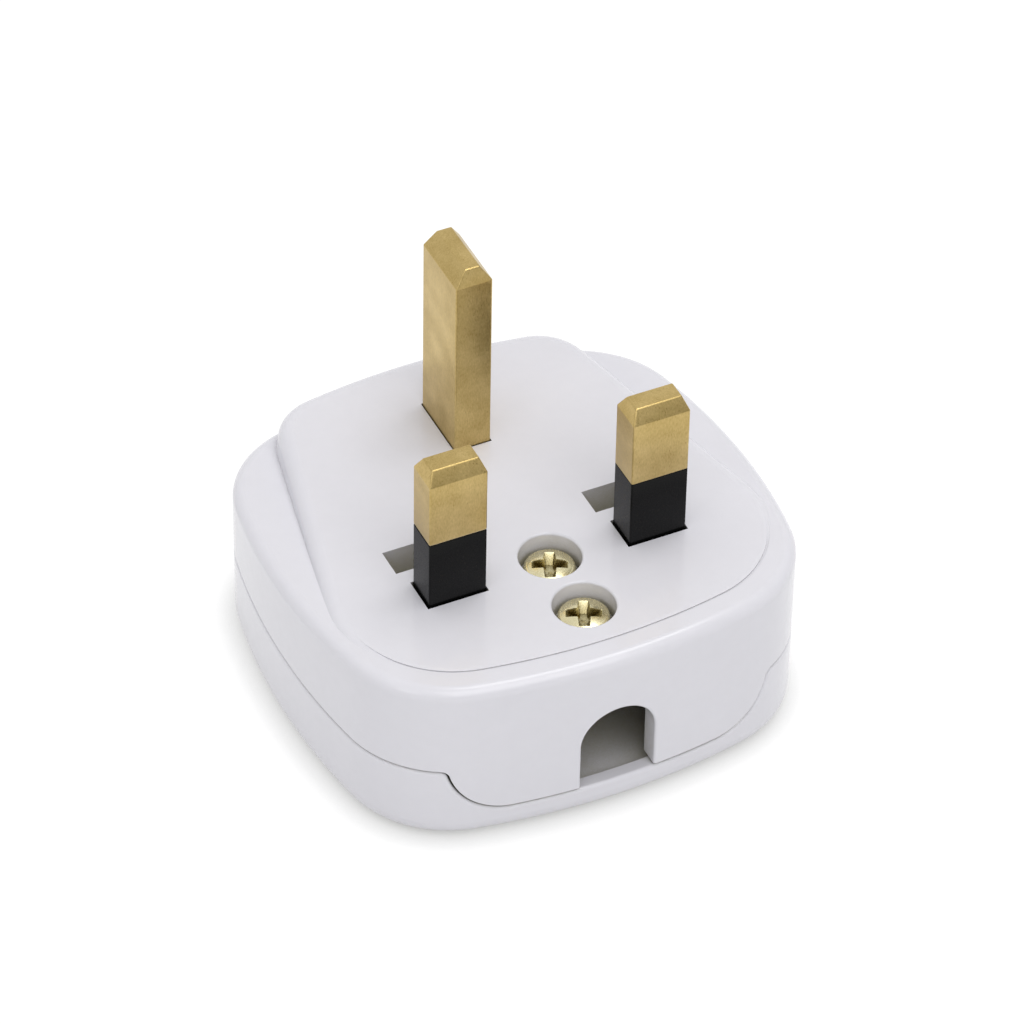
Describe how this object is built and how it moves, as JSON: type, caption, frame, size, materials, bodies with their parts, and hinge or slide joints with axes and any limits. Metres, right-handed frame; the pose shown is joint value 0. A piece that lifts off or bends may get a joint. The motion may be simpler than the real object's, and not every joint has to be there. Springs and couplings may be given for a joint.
{
  "type": "rewirable mains plug",
  "caption": "Rewirable fused mains plug: rounded square moulding with finger ledges, sleeved flat brass pins, a longer earth pin, sunk cross-recess screws and an arched cord entry.",
  "frame": {"origin": "middle of the flat back of the cover, which the plug lies on with its pins up", "axes": "+X from the live pin to the neutral pin, +Y from the cord entry to the earth pin, +Z along the pins away from the back"},
  "size_m": [0.0518, 0.0506, 0.0434],
  "materials": {
    "white_moulding": "gloss",
    "pin_brass": "drawn, matt",
    "screw_brass": "turned, bright",
    "spring_brass": "rolled",
    "black_sleeve": "satin",
    "clamp_moulding": "matt",
    "fuse_ceramic": "unglazed",
    "fuse_metal": "nickel plated"
  },
  "bodies": {
    "root": {"base": "white_moulding", "cover": "white_moulding", "earth_pin": "pin_brass", "live_pin": "pin_brass", "neutral_pin": "pin_brass", "live_sleeve": "black_sleeve", "neutral_sleeve": "black_sleeve", "live_terminal": "pin_brass", "terminal_screws": "screw_brass", "pin_fuse_clip": "spring_brass", "terminal_fuse_clip": "spring_brass", "fuse_tube": "fuse_ceramic", "fuse_wire": "fuse_metal", "fuse_cap_front": "fuse_metal", "fuse_cap_back": "fuse_metal", "cover_screw": "screw_brass", "cover_nut": "screw_brass", "cord_clamp_screw": "screw_brass", "cord_clamp_nut": "screw_brass", "cord_clamp_saddle": "clamp_moulding"}
  },
  "joints": []
}
